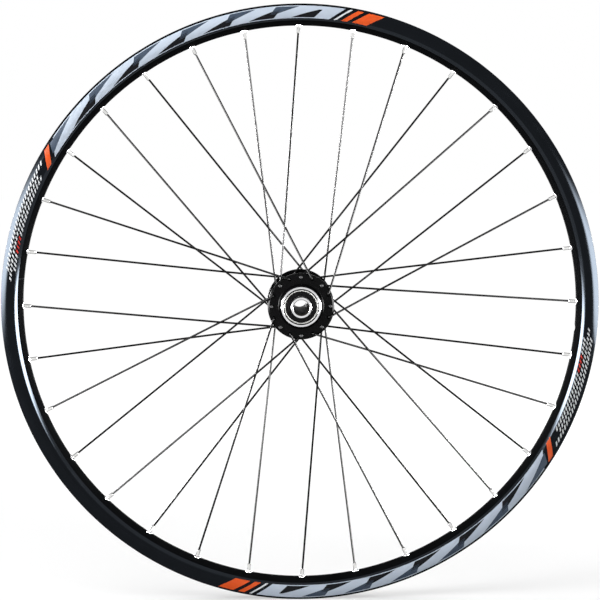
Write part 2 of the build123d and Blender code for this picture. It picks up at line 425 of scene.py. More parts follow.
# Pieces
def mesh_of(name, shape, outward=True):
    """Mesh of a shape, with its faces turned outward unless they are right already."""
    vertices, faces = shape
    mesh = bpy.data.meshes.new(name)
    mesh.from_pydata([vertex * MM for vertex in vertices], [], faces)
    if outward:
        work = bmesh.new()
        work.from_mesh(mesh)
        bmesh.ops.recalc_face_normals(work, faces=work.faces)
        work.to_mesh(mesh)
        work.free()
    return mesh


def add_object(name, data):
    made = bpy.data.objects.new(name, data)
    bpy.context.scene.collection.objects.link(made)
    return made


def dress(mesh, *materials):
    """Gives a mesh its materials and a smooth skin between sharp edges."""
    mesh.materials.clear()
    for material in materials:
        mesh.materials.append(material)
    mesh.shade_smooth()
    mesh.set_sharp_from_angle(angle=radians(sharp_angle))


def combine(target, shape, operation):
    """Cuts a shape from an object, or adds it, for good."""
    tool = add_object("tool", mesh_of("tool", shape))
    modifier = target.modifiers.new("combine", "BOOLEAN")
    modifier.operation = operation
    modifier.solver = "EXACT"
    modifier.object = tool
    graph = bpy.context.evaluated_depsgraph_get()
    mesh = bpy.data.meshes.new_from_object(target.evaluated_get(graph))
    target.modifiers.clear()
    target.data = mesh
    bpy.data.objects.remove(tool)

    # Cuts leave a few slivers, which are welded away
    work = bmesh.new()
    work.from_mesh(mesh)
    bmesh.ops.dissolve_degenerate(work, edges=work.edges, dist=weld_gap * MM)
    work.to_mesh(mesh)
    work.free()


def place(piece, body, slot, *nodes):
    """Sets a piece on its body and hides the CAD nodes that it stands for; slot is not used."""
    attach(piece, body)
    if nodes:
        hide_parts(*nodes)


def paint(mesh, choose):
    """Gives each face the material that choose picks by its middle's radius and distance along the axle."""
    for polygon in mesh.polygons:
        centre = polygon.center / MM
        polygon.material_index = choose(hypot(centre.x, centre.z), abs(centre.y))


def turned_piece(name, corners, materials, body, slot, node, choose=None):
    """Turned piece from the corners of its section, painted where choose is given."""
    mesh = mesh_of(name, lathe(rounded(corners), hub_segments))
    dress(mesh, *materials)
    if choose:
        paint(mesh, choose)
    place(add_object(name, mesh), body, slot, node)


# Materials
def feed(tree, socket, value):
    """Links another node's output to a socket, or sets a plain value on it."""
    if isinstance(value, bpy.types.NodeSocket):
        tree.links.new(value, socket)
    else:
        socket.default_value = value


def add_node(tree, kind, inputs=None, **settings):
    """Shader node of that kind with those settings, and with links or values at its inputs."""
    made = tree.nodes.new("ShaderNode" + kind)
    for name, value in settings.items():
        setattr(made, name, value)
    for name, value in (inputs or {}).items():
        feed(tree, made.inputs[name], value)
    return made


def math_node(tree, operation, first, second=0.0):
    return add_node(tree, "Math", {0: first, 1: second}, operation=operation).outputs[0]


def map_range(tree, value, span, range_to, kind="LINEAR"):
    """Value brought from one range to another and held within it."""
    inputs = {"Value": value, "From Min": span[0], "From Max": span[1]}
    inputs.update({"To Min": range_to[0], "To Max": range_to[1]})
    return add_node(tree, "MapRange", inputs, interpolation_type=kind).outputs["Result"]


class Finish:
    """A procedural material: constants are set on the shader, and what varies comes from nodes."""

    def __init__(self, name, metallic=0.0, specular=0.5, tint=(1.0, 1.0, 1.0)):
        self.material = bpy.data.materials.new(name)
        self.material.use_nodes = True
        self.tree = self.material.node_tree
        self.shader = self.tree.nodes["Principled BSDF"]
        self.shader.inputs["Metallic"].default_value = metallic
        self.shader.inputs["Specular IOR Level"].default_value = specular
        self.shader.inputs["Specular Tint"].default_value = (*tint, 1.0)
        self.position = self.node("TexCoord").outputs["Object"]

    def node(self, kind, inputs=None, **settings):
        return add_node(self.tree, kind, inputs, **settings)

    def noise(self, scale, detail=3.0):
        """Blotches of about one over scale metres."""
        inputs = {"Vector": self.position, "Scale": scale, "Detail": detail}
        return self.node("TexNoise", inputs).outputs["Fac"]

    def clouds(self, scale):
        """Soft blotches, from 0 to 1."""
        return self.spread(self.noise(scale), 0.0, 1.0)

    def math(self, operation, first, second=0.0):
        return math_node(self.tree, operation, first, second)

    def part(self, axis):
        return self.node("SeparateXYZ", {"Vector": self.position}).outputs[axis]

    def radius(self):
        """Distance from the axle."""
        flat = self.node("CombineXYZ", {"X": self.part("X"), "Z": self.part("Z")})
        return self.node("VectorMath", {0: flat.outputs[0]}, operation="LENGTH").outputs["Value"]

    def turning_marks(self, scale, detail=2.0):
        """Fine rings left by a lathe, on faces and on barrels."""
        along = self.math("ADD", self.radius(), self.part("Y"))
        inputs = {"W": along, "Scale": scale, "Detail": detail}
        return self.node("TexNoise", inputs, noise_dimensions="1D").outputs["Fac"]

    def spread(self, value, low, high):
        """A noise's span, brought to the range from low to high."""
        return map_range(self.tree, value, noise_span, (low, high))

    def mix(self, share, first, second):
        """Colour between two, each given as a socket or as red, green and blue."""
        made = self.node("Mix", data_type="RGBA")
        for name, value in (("Factor_Float", share), ("A_Color", first), ("B_Color", second)):
            socket = next(s for s in made.inputs if s.identifier == name)
            feed(self.tree, socket, (*value, 1.0) if isinstance(value, tuple) else value)
        return next(s for s in made.outputs if s.identifier == "Result_Color")

    def use(self, socket, value):
        self.tree.links.new(value, self.shader.inputs[socket])

    def bump(self, height, depth):
        """Relief of about that many millimetres."""
        made = self.node("Bump", {"Height": height, "Distance": depth * MM})
        self.use("Normal", made.outputs["Normal"])


def seam_mask(finish):
    """Line where the two ends of the rim's strip meet."""
    angle = radians(seam_angle)
    across = Vector((-sin(angle), 0.0, cos(angle)))
    outward = Vector((cos(angle), 0.0, sin(angle)))
    offset = finish.node("VectorMath", {0: finish.position, 1: across}, operation="DOT_PRODUCT")
    reach = finish.node("VectorMath", {0: finish.position, 1: outward}, operation="DOT_PRODUCT")
    near = finish.math("LESS_THAN", finish.math("ABSOLUTE", offset.outputs["Value"]), seam_half_width * MM)
    this_side = finish.math("GREATER_THAN", reach.outputs["Value"], 0.0)
    return finish.math("MULTIPLY", near, this_side)


def black_metal(name, dark, light, roughness, specular, seam=False):
    """Black finish with faint blotches, a fine orange-peel relief and varying gloss."""
    finish = Finish(name, specular=specular, tint=black_tint)
    colour = finish.mix(finish.clouds(60.0), dark, light)
    if seam:
        colour = finish.mix(seam_mask(finish), colour, seam_grey)
    finish.use("Base Color", colour)
    finish.use("Roughness", finish.spread(finish.noise(28.0), *roughness))
    finish.bump(finish.noise(1400.0, detail=2.0), depth=0.004)
    return finish.material


def turned_metal(name, dark, light, roughness, marks=2600.0, relief=0.0005, clouds=90.0,
                 metallic=1.0, specular=0.5):
    """Metal with a lathe's fine rings in its gloss and relief, and soft clouds in its colour."""
    finish = Finish(name, metallic, specular)
    finish.use("Base Color", finish.mix(finish.clouds(clouds), dark, light))
    tool_rings = finish.turning_marks(marks)
    finish.use("Roughness", finish.spread(tool_rings, *roughness))
    finish.bump(tool_rings, relief)
    return finish.material


def spoke_finish(dark, light):
    """Black oxide wire with fine streaks."""
    finish = Finish("spoke_oxide", specular=0.10)
    streaks = finish.noise(420.0, detail=2.0)
    finish.use("Base Color", finish.mix(finish.spread(streaks, 0.0, 1.0), dark, light))
    finish.use("Roughness", finish.spread(finish.noise(160.0), 0.08, 0.15))
    finish.bump(streaks, depth=0.002)
    return finish.material


def rubber_finish(dark, light):
    """Moulded rubber with a fine grain."""
    finish = Finish("seal_rubber", specular=0.03)
    grain = finish.noise(3000.0, detail=2.0)
    finish.use("Base Color", finish.mix(finish.clouds(260.0), dark, light))
    finish.use("Roughness", finish.spread(grain, 0.38, 0.55))
    finish.bump(grain, depth=0.02)
    return finish.material


def print_finish(name, dark, light, roughness=(0.26, 0.36)):
    """Printed film with a fine flake."""
    finish = Finish(name, specular=0.08)
    flake = finish.noise(5200.0, detail=1.0)
    cloud = finish.noise(70.0)
    both = finish.math("MULTIPLY", finish.math("ADD", flake, cloud), 0.5)
    finish.use("Base Color", finish.mix(finish.spread(both, 0.0, 1.0), dark, light))
    finish.use("Roughness", finish.spread(flake, *roughness))
    finish.bump(flake, depth=0.0005)
    return finish.material


# Finishes: name, dark and light colour, lowest and highest roughness
gloss_dark = (0.0010, 0.0012, 0.0017)
gloss_light = (0.0022, 0.0026, 0.0036)
side_black = black_metal("rim_gloss", gloss_dark, gloss_light, (0.06, 0.12), specular=0.13)
shoulder_black = black_metal("rim_shoulder", gloss_dark, gloss_light, (0.06, 0.12), specular=0.30)
bed_black = black_metal("rim_satin", (0.0012, 0.0013, 0.0015), (0.0026, 0.0027, 0.0030), (0.55, 0.70),
                        specular=0.007, seam=True)
channel_black = black_metal("rim_channel", (0.006, 0.006, 0.007), (0.014, 0.014, 0.016), (0.42, 0.58),
                            specular=0.16, seam=True)
hub_black = turned_metal("hub_anodised", (0.0012, 0.0012, 0.0014), (0.0026, 0.0026, 0.0030), (0.12, 0.22),
                         marks=1800.0, relief=0.0008, clouds=120.0, metallic=0.0, specular=0.06)
spoke_black = spoke_finish((0.0020, 0.0020, 0.0023), (0.0050, 0.0050, 0.0056))
rubber = rubber_finish((0.0010, 0.0010, 0.0011), (0.0024, 0.0024, 0.0026))
plated = {"marks": 1600.0, "relief": 0.0002}
nickel = turned_metal("nipple_nickel", (0.64, 0.64, 0.63), (0.80, 0.80, 0.79), (0.04, 0.10), **plated)
# Near-black finish for the corners of the nipples' drives: painted dark reflection on the nickel
nickel_painted_dark = turned_metal("nipple_painted_dark_edge", (0.02, 0.02, 0.02), (0.045, 0.045, 0.045), (0.10, 0.20), **plated)
eyelet_steel = turned_metal("eyelet_steel", (0.60, 0.60, 0.61), (0.76, 0.76, 0.77), (0.05, 0.12), **plated)
polished = turned_metal("polished_aluminium", (0.62, 0.62, 0.63), (0.78, 0.78, 0.79), (0.04, 0.10),
                        relief=0.0002)
turned_barrel = turned_metal("turned_aluminium", (0.30, 0.30, 0.30), (0.42, 0.42, 0.42), (0.14, 0.26))
head_steel = turned_metal("spoke_head", (0.014, 0.014, 0.0145), (0.023, 0.023, 0.0235), (0.50, 0.62),
                          marks=3000.0)
dull_metal = turned_metal("dull_aluminium", (0.20, 0.20, 0.19), (0.30, 0.30, 0.29), (0.26, 0.40))
bearing_steel = turned_metal("bearing_steel", (0.45, 0.45, 0.46), (0.60, 0.60, 0.61), (0.18, 0.32))

# Dull bore of the axle, painted dark and a little brown as shade inside the deep bore
axle_bore_painted_shade = turned_metal("axle_bore_painted_shade", (0.010, 0.008, 0.006), (0.030, 0.026, 0.021), (0.50, 0.70),
                         marks=1500.0, relief=0.006, clouds=150.0, metallic=0.0, specular=0.05)

# Printed films
print_shades = {
    "pale": ((0.50, 0.575, 0.68), (0.58, 0.655, 0.76)),
    "slate": ((0.042, 0.062, 0.095), (0.062, 0.086, 0.125)),
    "black": ((0.0045, 0.0050, 0.0065), (0.0085, 0.0092, 0.0115), (0.14, 0.22)),
    "white": ((0.72, 0.75, 0.78), (0.82, 0.84, 0.86)),
    "orange": ((0.80, 0.085, 0.012), (0.90, 0.125, 0.020)),
    "red": ((0.58, 0.020, 0.012), (0.70, 0.035, 0.020)),
}
prints = {colour: print_finish("print_" + colour, *shades) for colour, shades in print_shades.items()}


# Rim
def crown(radius):
    """Axial place of the gently crowned sidewall."""
    return rim_half_width - (radius - crown_radius) ** 2 / (2 * crown_curve)


def side_corners():
    """Corners of the sidewall from the shoulder to the tip."""
    corners = [(shoulder_radius, crown(shoulder_radius), shoulder_fillet)]
    for index in range(crown_steps + 1):
        radius = crown_start + (crown_end - crown_start) * index / crown_steps
        corners.append((radius, crown(radius), 0))
    return corners


def rim_shape():
    """Rim with hooked sidewalls round a closed cavity."""
    hook_root = rim_radius - hook_height
    seat_edge = channel_half_width - seat_width
    floor_radius = bead_seat_radius - well_depth
    outside = rounded(both_sides(
        [(bed_radius, bed_half_width, bed_fillet)]
        + side_corners()
        + [
            (rim_radius, crown(rim_radius), tip_fillet),
            (rim_radius, hook_inside, tip_fillet),
            (hook_root, hook_inside, tip_fillet),
            (hook_root - hook_slope, channel_half_width, tip_fillet),
            (bead_seat_radius, channel_half_width, tip_fillet),
            (bead_seat_radius, seat_edge, tip_fillet),
            (floor_radius, seat_edge - well_slope, tip_fillet),
        ]
    ))
    cavity = rounded(both_sides([
        (bed_radius + rim_wall, bed_half_width - floor_wall / 2, 0),
        (shoulder_radius + rim_wall, channel_half_width - floor_wall, 0),
        (bead_seat_radius - floor_wall, channel_half_width - floor_wall, 0),
        (bead_seat_radius - floor_wall, seat_edge + floor_wall / 2, 0),
        (floor_radius - floor_wall, seat_edge - well_slope + floor_wall / 2, 0),
    ]))
    return joined([lathe(outside, rim_segments), lathe(cavity[::-1], rim_segments)])


def rim_holes():
    """Holes for the eyelets, for access to the nipples and for the valve."""
    middle = (bed_radius + bead_seat_radius) / 2
    bed_hole = radial_pin(eyelet_outer + eyelet_gap, bed_radius - rim_wall, middle)
    floor_hole = radial_pin(access_hole / 2, middle + rim_wall, rim_radius)
    holes = [moved(radial_pin(valve_hole / 2, bed_radius - rim_wall, rim_radius), round_axle(valve_angle))]
    for index in range(spoke_count):
        turn = round_axle(index * spoke_step)
        holes += [moved(bed_hole, turn), moved(floor_hole, turn)]
    return joined(holes)


def rim_finish(radius, axial):
    """Tyre channel, spoke bed, shoulder or side."""
    channel_floor = bead_seat_radius - well_depth - floor_wall / 2
    if radius > channel_floor and axial < channel_half_width + channel_margin:
        return RIM_CHANNEL
    if radius < bed_edge:
        return RIM_BED
    return RIM_SHOULDER if radius < shoulder_edge else RIM_SIDE


def add_rim():
    rim = add_object("rim_body", mesh_of("rim_body", rim_shape(), outward=False))
    combine(rim, rim_holes(), "DIFFERENCE")
    dress(rim.data, side_black, bed_black, channel_black, shoulder_black)
    paint(rim.data, rim_finish)
    place(rim, "wheel", "rim_black", "rim")


add_rim()


# Graphics: thin printed sheets that follow the sidewall
def side_curve():
    """Points of the rim's section from the middle of the spoke bed to the tip."""
    corners = [(bed_radius, 0.0, 0), (bed_radius, bed_half_width, bed_fillet)]
    corners += side_corners() + [(rim_radius, crown(rim_radius), 0)]
    places = [Vector(corner[:2]) for corner in corners]
    curve = [places[0]]
    for before, here, after, corner in zip(places, places[1:], places[2:], corners[1:]):
        curve += corner_arc(before, here, after, corner[2])
    return curve + [places[-1]]


sidewall = side_curve()


def leg_at(value, axis):
    """Ends of the curve's leg at a radius (axis 0) or an axial place (axis 1), and the share before it."""
    for before, after in zip(sidewall, sidewall[1:]):
        if before[axis] <= value <= after[axis]:
            return before, after, (value - before[axis]) / max(after[axis] - before[axis], tiny)
    raise ValueError("off the sidewall")


def on_side(radius, lift):
    """Point (radius, axial) that far off the sidewall."""
    before, after, share = leg_at(radius, 0)
    along = (after - before).normalized()
    return before.lerp(after, share) + Vector((-along.y, along.x)) * lift


def sheet(foot, head, inner, outer, layer):
    """Printed sheet between two radii, from its first and last angle at the inner and at the outer one."""
    rows = max(2, ceil((outer - inner) / sheet_row))
    columns = max(1, ceil(max(foot[1] - foot[0], head[1] - head[0]) / sheet_column))
    loops = []
    for column in range(columns + 1):
        top = []
        bottom = []
        for row in range(rows + 1):
            share = row / rows
            radius = inner + (outer - inner) * share
            first = foot[0] + (head[0] - foot[0]) * share
            last = foot[1] + (head[1] - foot[1]) * share
            angle = radians(first + (last - first) * column / columns)
            for line, lift in ((top, layer * graphic_thickness), (bottom, -graphic_thickness)):
                across, axial = on_side(radius, lift)
                line.append(Vector((across * cos(angle), -axial, across * sin(angle))))
        loops.append(top + bottom[::-1])
    return rings(loops)


def slanted(start, end, low, high, layer):
    """Sheet with both ends on the graphic's slant, between two shares of its height."""
    foot = (start + graphic_lean * low, end + graphic_lean * low)
    head = (start + graphic_lean * high, end + graphic_lean * high)
    return foot, head, graphic_inner + graphic_height * low, graphic_inner + graphic_height * high, layer


def teeth(start, pitch, base):
    """Two teeth of the zigzag: a black one from the inner edge and a slate one from the outer edge."""
    low = graphic_inner + graphic_height * zigzag_margin
    high = graphic_outer - graphic_height * zigzag_margin
    rise = graphic_height * zigzag_rise
    black_head = (start + black_tip[0], start + black_tip[1])
    black = ((start, start + base), black_head, low, low + rise, second_layer)
    first = start + pitch / 2
    last = first + base
    slate_foot = (last + slate_tip[0], last + slate_tip[1])
    slate = (slate_foot, (first + slate_lean, last + slate_lean), high - rise, high, second_layer)
    return black, slate


def graphic_sheets():
    """Sheets of one graphic by colour, at angles from its own start."""
    sheets = {colour: [] for colour in prints}

    # Orange slashes, then the long pale band with its zigzag
    for start, end in orange_slashes:
        sheets["orange"].append(slanted(start, end, 0.0, 1.0, first_layer))
    sheets["white"].append(slanted(*white_line, 0.0, 1.0, first_layer))
    sheets["pale"].append(slanted(*pale_band, 0.0, 1.0, first_layer))
    start = zigzag_start
    for tooth in range(zigzag_teeth):
        base = zigzag_base + zigzag_growth * tooth
        pitch = base * zigzag_pitch
        black, slate = teeth(start, pitch, base)
        sheets["black"].append(black)
        sheets["slate"].append(slate)
        start += pitch

    # Ticks, a few of them red in the first row
    for row, (first, last, low, high) in enumerate(tick_rows):
        for tick in range(int((last - first) / tick_pitch)):
            start = first + tick * tick_pitch
            colour = "red" if row == 0 and tick in red_ticks else "white"
            sheets[colour].append(slanted(start, start + tick_width, low, high, first_layer))
    return sheets


def add_graphics():
    """One piece for each colour, with both graphics of both sides."""
    other_side = Matrix.Diagonal((-1.0, -1.0, 1.0, 1.0))
    for colour, sheets in graphic_sheets().items():
        shapes = []
        for begin in graphic_starts:
            for foot, head, inner, outer, layer in sheets:
                foot_angles = [begin + angle for angle in foot]
                head_angles = [begin + angle for angle in head]
                shape = sheet(foot_angles, head_angles, inner, outer, layer)
                shapes += [shape, moved(shape, other_side)]
        name = "rim_print_" + colour
        mesh = mesh_of(name, joined(shapes))
        dress(mesh, prints[colour])
        place(add_object(name, mesh), "wheel", None)


add_graphics()


# Spokes and nipples
class Lacing:
    """Path of one kind of spoke in its own plane: x from the hub hole to the rim, y along the axle."""

    def __init__(self, flange_offset, outward, head_outside):
        turn = radians(hub_turn if head_outside else -hub_turn)
        hub = Vector((hole_circle * cos(turn), 0.0, hole_circle * sin(turn)))
        to_rim = Vector((bed_radius, 0.0, 0.0)) - hub
        self.length = to_rim.length
        along = to_rim.normalized()
        axial = Vector((0.0, 1.0, 0.0))
        axes = Matrix((along, axial, along.cross(axial))).transposed()
        self.plane = Matrix.Translation(hub) @ axes.to_4x4()

        outer_face = outward * (flange_offset + flange_half)
        inner_face = outward * (flange_offset - flange_half)
        elbow_inside = inner_face - outward * (wire_radius + elbow_lift_inside)
        elbow_outside = outer_face + outward * (wire_radius + elbow_lift_outside)
        elbow = elbow_inside if head_outside else elbow_outside
        self.way = outward if head_outside else -outward
        head = (outer_face if head_outside else inner_face) + self.way * head_gap

        # The spoke with its elbow outside passes under the other at the outer crossing
        step = radians(spoke_step)
        lean = asin(abs(hub.z) / self.length)
        crossing = self.length - bed_radius * sin(step) / sin(step + lean)
        straight = (elbow_inside + elbow_outside) / 2 * (1 - crossing / self.length)
        weave = outward * (wire_radius + weave_gap / 2)
        crossing_offset = straight + (weave if head_outside else -weave)
        self.slope = atan2(-crossing_offset, self.length - crossing)
        self.corners = [
            Vector((0.0, head)),
            Vector((0.0, elbow)),
            Vector((crossing, crossing_offset)),
            Vector((self.length + thread_end * cos(self.slope), thread_end * sin(self.slope))),
        ]

    def spoke(self):
        """Wire with a domed head, as one skin."""
        start, elbow, crossing, end = self.corners
        path = [start]
        path += corner_arc(start, elbow, crossing, elbow_fillet)
        path += corner_arc(elbow, crossing, end, weave_fillet, weave_step, support=0.0)
        path.append(end)
        places = [start + Vector((0.0, self.way * height)) for height, radius in head_dome] + path
        radii = [radius for height, radius in head_dome] + [wire_radius] * len(path)
        loops = []
        for index, (spot, radius) in enumerate(zip(places, radii)):
            if index < len(head_dome) + 1:
                along = Vector((0.0, -self.way))
            else:
                along = (places[min(index + 1, len(places) - 1)] - places[index - 1]).normalized()
            side = Vector((-along.y, along.x))
            loop = []
            for angle in turns(wire_sides):
                flat = spot + side * radius * cos(angle)
                loop.append(Vector((flat.x, flat.y, radius * sin(angle))))
            loops.append(loop)
        return moved(rings(loops), self.plane)

    def nipple(self):
        """Square drive, round barrel and slotted coned head, with a bore for the wire."""
        loops = [rounded_square(height, half, corner) for height, half, corner in nipple_sections]
        for height in (nipple_top, nipple_tip):
            loops.append(rounded_square(height, nipple_bore, nipple_bore))
        slot_floor = nipple_top - slot_depth
        for loop in loops:
            for point in loop:
                if point.z > slot_floor and abs(point.x) < slot_half_width:
                    point.z = slot_floor + (point.z - slot_floor) * slot_slope
        along = Vector((cos(self.slope), sin(self.slope), 0.0))
        across = Vector((-sin(self.slope), cos(self.slope), 0.0))
        turn = Matrix((across, along.cross(across), along)).transposed().to_4x4()
        bed_point = Matrix.Translation((self.length, 0.0, 0.0))
        return moved(rings(loops, closed=True), self.plane @ bed_point @ turn)


def rounded_square(height, half, corner):
    """Loop of points round a square with rounded corners, or a circle where corner is half."""
    flat = half - corner
    loop = []
    for index in range(nipple_sides):
        angle = 2 * pi * (index + 0.5) / nipple_sides
        middle = Vector((flat if cos(angle) > 0 else -flat, flat if sin(angle) > 0 else -flat))
        loop.append(Vector((middle.x + corner * cos(angle), middle.y + corner * sin(angle), height)))
    return loop


def bed_rise(axial):
    """How far the rounded spoke bed stands back from its middle at that place along the axle."""
    before, after, share = leg_at(abs(axial), 1)
    return before.lerp(after, share).x - bed_radius


def eyelet_shape():
    """Rolled flange that lies on the spoke bed and a collar through it, about the X axis."""
    foot = bed_radius - eyelet_gap
    top = foot + eyelet_gap + rim_wall + eyelet_lip
    outline = rounded([
        (eyelet_bore, foot - eyelet_thickness, 0.18),
        (eyelet_flange, foot - eyelet_thickness, 0.28),
        (eyelet_flange, foot, 0.1),
        (eyelet_outer, foot, 0),
        (eyelet_outer, top, 0.12),
        (eyelet_bore, top, 0.12),
    ])
    vertices, faces = moved(lathe(outline, eyelet_segments), Matrix.Rotation(-pi / 2, 4, "Z"))
    return [vertex + Vector((bed_rise(vertex.y), 0.0, 0.0)) for vertex in vertices], faces


def mark_painted_dark_corners(mesh, faces_each):
    """Gives the corners of the nipples' square drives a near-black finish, a painted dark reflection along
    the corners.
    """
    per_corner = nipple_sides // 4
    for polygon in mesh.polygons:
        ring, step = divmod(polygon.index % faces_each, nipple_sides)
        if ring < drive_rings and step % per_corner != per_corner - 1:
            polygon.material_index = DRIVE_PAINTED_DARK_CORNER


def add_spokes():
    lacings = [
        Lacing(right_flange, RIGHT, True),
        Lacing(left_flange, LEFT, True),
        Lacing(right_flange, RIGHT, False),
        Lacing(left_flange, LEFT, False),
    ]
    meshes = []
    for index, lacing in enumerate(lacings):
        mesh = mesh_of(f"spoke_kind_{index + 1}", lacing.spoke())
        dress(mesh, spoke_black, head_steel)
        worn = range(wire_sides * head_worn_rings)
        for face in [*worn, len(mesh.polygons) - 2]:
            mesh.polygons[face].material_index = WORN_HEAD
        meshes.append(mesh)
    nipples = []
    eyelets = []
    for index in range(spoke_count):
        turn = round_axle(index * spoke_step)
        spoke = add_object(f"wire_spoke_{index + 1:02d}", meshes[index % len(meshes)])
        spoke.matrix_world = turn
        place(spoke, "wheel", "spoke_black", f"spoke_{index + 1:02d}")
        nipples.append(moved(lacings[index % len(lacings)].nipple(), turn))
        eyelets.append(moved(eyelet_shape(), turn))
    for name, shapes, materials, slot, node in (
            ("nipple_set", nipples, [nickel, nickel_painted_dark], "plated_silver", "nipples"),
            ("eyelet_set", eyelets, [eyelet_steel], "eyelet_silver", "eyelets")):
        mesh = mesh_of(name, joined(shapes))
        dress(mesh, *materials)
        # Paints the drives' corners near-black as a dark reflection
        if nickel_painted_dark in materials:
            mark_painted_dark_corners(mesh, len(shapes[0][1]))
        place(add_object(name, mesh), "wheel", slot, node)


add_spokes()


# Hub
def hub_corners():
    """Section of the shell from the right end to the left end and back through the bores."""
    flat = flange_radius - flange_bevel
    corners = [
        (bearing_radius, -right_end, 0.2),
        (cover_spigot, -right_end, 0.2),
        (cover_spigot, -cover_seat, 0),
        (collar_end, -cover_seat, 0.4),
        (collar_radius, -cover_seat + collar_taper, 0.8),
        (collar_radius, -right_flange - flange_half, 0.8),
    ]
    for middle, side in ((-right_flange, RIGHT), (left_flange, LEFT)):
        flange = [
            (flat, middle + side * flange_half, 0.6),
            (flange_radius, middle + side * (flange_half - flange_bevel_depth), 0.6),
            (flange_radius, middle - side * (flange_half - flange_back_bevel), 0.35),
            (flange_radius - flange_back_bevel, middle - side * flange_half, 0.35),
            (flange_foot, middle - side * flange_half, 2.0),
            (waist_radius, middle - side * (flange_half + cone_length), 5.0),
        ]
        corners += flange if side == RIGHT else flange[::-1]
    return corners + [
        (disc_neck, left_flange + flange_half, 1.2),
        (disc_neck, disc_face, 0.3),
        (disc_spigot, disc_face, 0),
        (disc_spigot, left_end, 0.4),
        (bearing_radius, left_end, 0.3),
        (bearing_radius, bearing_back, 0),
        (shell_bore, bearing_back, 0.4),
        (shell_bore, -bearing_back, 0.4),
        (bearing_radius, -bearing_back, 0),
    ]


def disc_tab():
    """Lobe for one disc bolt, rooted in the neck."""
    foot = disc_neck - tab_foot_depth
    root = disc_neck - tab_root_depth
    flare = disc_neck + tab_flare_start
    wide = tab_half + tab_flare
    tip_round = tab_half - tab_tip_flat
    outline = rounded([
        (root, -wide, 0),
        (foot, -wide, 0),
        (flare, -tab_half, tab_flare_fillet),
        (tab_reach, -tab_half, tip_round),
        (tab_reach, tab_half, tip_round),
        (flare, tab_half, tab_flare_fillet),
        (foot, wide, 0),
        (root, wide, 0),
    ])
    ends = (tab_back, disc_face - tab_setback)
    return rings([[Vector((x, axial, z)) for x, z in outline] for axial in ends])


def flange_hole():
    """Plug for a spoke hole with eased mouths."""
    half = [
        (spoke_hole, flange_half - spoke_hole_ease),
        (spoke_hole_mouth, flange_half + spoke_hole_overshoot),
    ]
    return axial_plug([(radius, -axial) for radius, axial in reversed(half)] + half)


def bolt_hole():
    """Plug for a disc bolt's hole with an eased mouth."""
    return axial_plug([
        (disc_bolt_hole, tab_back - bolt_hole_overshoot),
        (disc_bolt_hole, disc_face - bolt_ease),
        (disc_bolt_hole + bolt_ease_width, disc_face + bolt_ease_overshoot),
    ])


def add_hub_shell():
    hub = add_object("hub_body", mesh_of("hub_body", lathe(rounded(hub_corners()), hub_segments)))
    tabs = []
    cuts = []
    for index in range(disc_bolts):
        turn = round_axle(index * 360 / disc_bolts)
        tabs.append(moved(disc_tab(), turn))
        cuts.append(moved(bolt_hole(), turn @ Matrix.Translation((disc_bolt_circle, 0.0, 0.0))))
    for index in range(spoke_count):
        flange = left_flange if index % 2 else -right_flange
        hole_place = Matrix.Translation((hole_circle, flange, 0.0))
        cuts.append(moved(flange_hole(), round_axle(index * spoke_step) @ hole_place))
    combine(hub, joined(tabs), "UNION")
    combine(hub, joined(cuts), "DIFFERENCE")
    dress(hub.data, hub_black)
    place(hub, "wheel", "hub_black", "hub_shell")


def cover_corners():
    """Ring with a bright rounded band, a groove painted black as shade and a dull lip round the seal."""
    return [
        (cover_spigot + cover_fit, -cover_back, 0),
        (cover_radius, -cover_back, 0.3),
        (cover_radius, -cover_face, 0.7),
        (cover_band, -cover_face, 0.2),
        (cover_band - cover_band_draft, -cover_groove_floor, 0.2),
        (cover_groove, -cover_groove_floor, 0.2),
        (cover_groove - cover_groove_draft, -cover_lip, 0.2),
        (cover_bore, -cover_lip, 0.25),
        (cover_bore, -cover_inside, 0),
        (cover_spigot + cover_fit, -cover_inside, 0),
    ]


def cover_finish(radius, axial):
    """Bright band, groove painted black as shade, or dull lip."""
    if axial < cover_inside + face_slack or radius > cover_band:
        return COVER_BAND
    return COVER_PAINTED_SHADE_GROOVE if radius > cover_groove - face_slack else COVER_LIP


def seal_corners(outer):
    """Seal with two low ribs and a soft lip towards the end cap."""
    corners = [(seal_lip, seal_back, 0.1), (outer, seal_back, 0.1), (outer, seal_front, 0.25)]
    for share in reversed(seal_rib_shares):
        rib = seal_lip + (outer - seal_lip) * share
        corners += [
            (rib + seal_rib_half, seal_front, 0.2),
            (rib, seal_front + seal_rib_height, 0.2),
            (rib - seal_rib_half, seal_front, 0.2),
        ]
    corners.append((seal_lip, seal_front, 0.3))
    return corners


def cap_corners():
    """Cap with a bore for the axle, which is wider at its mouth and inside."""
    return [
        (cap_counterbore, cap_inside, 0),
        (cap_radius, cap_inside, 0.2),
        (cap_radius, hub_end, 0.6),
        (cap_mouth, hub_end, 0.2),
        (cap_bore, hub_end - cap_mouth_depth, 0.2),
        (cap_bore, cap_step, 0),
        (cap_counterbore, cap_step, 0),
    ]


def on_end(side, corners):
    """Section at the right or left end."""
    return [(radius, side * axial, fillet) for radius, axial, fillet in corners]


def cap_finish(radius, axial):
    """Bright end, bore with painted shade, or barrel."""
    if radius > cap_radius - face_slack and axial < hub_end - cap_bright_edge:
        return CAP_BARREL
    return CAP_END if radius > cap_mouth or axial < cap_inside + face_slack else CAP_BORE


add_hub_shell()
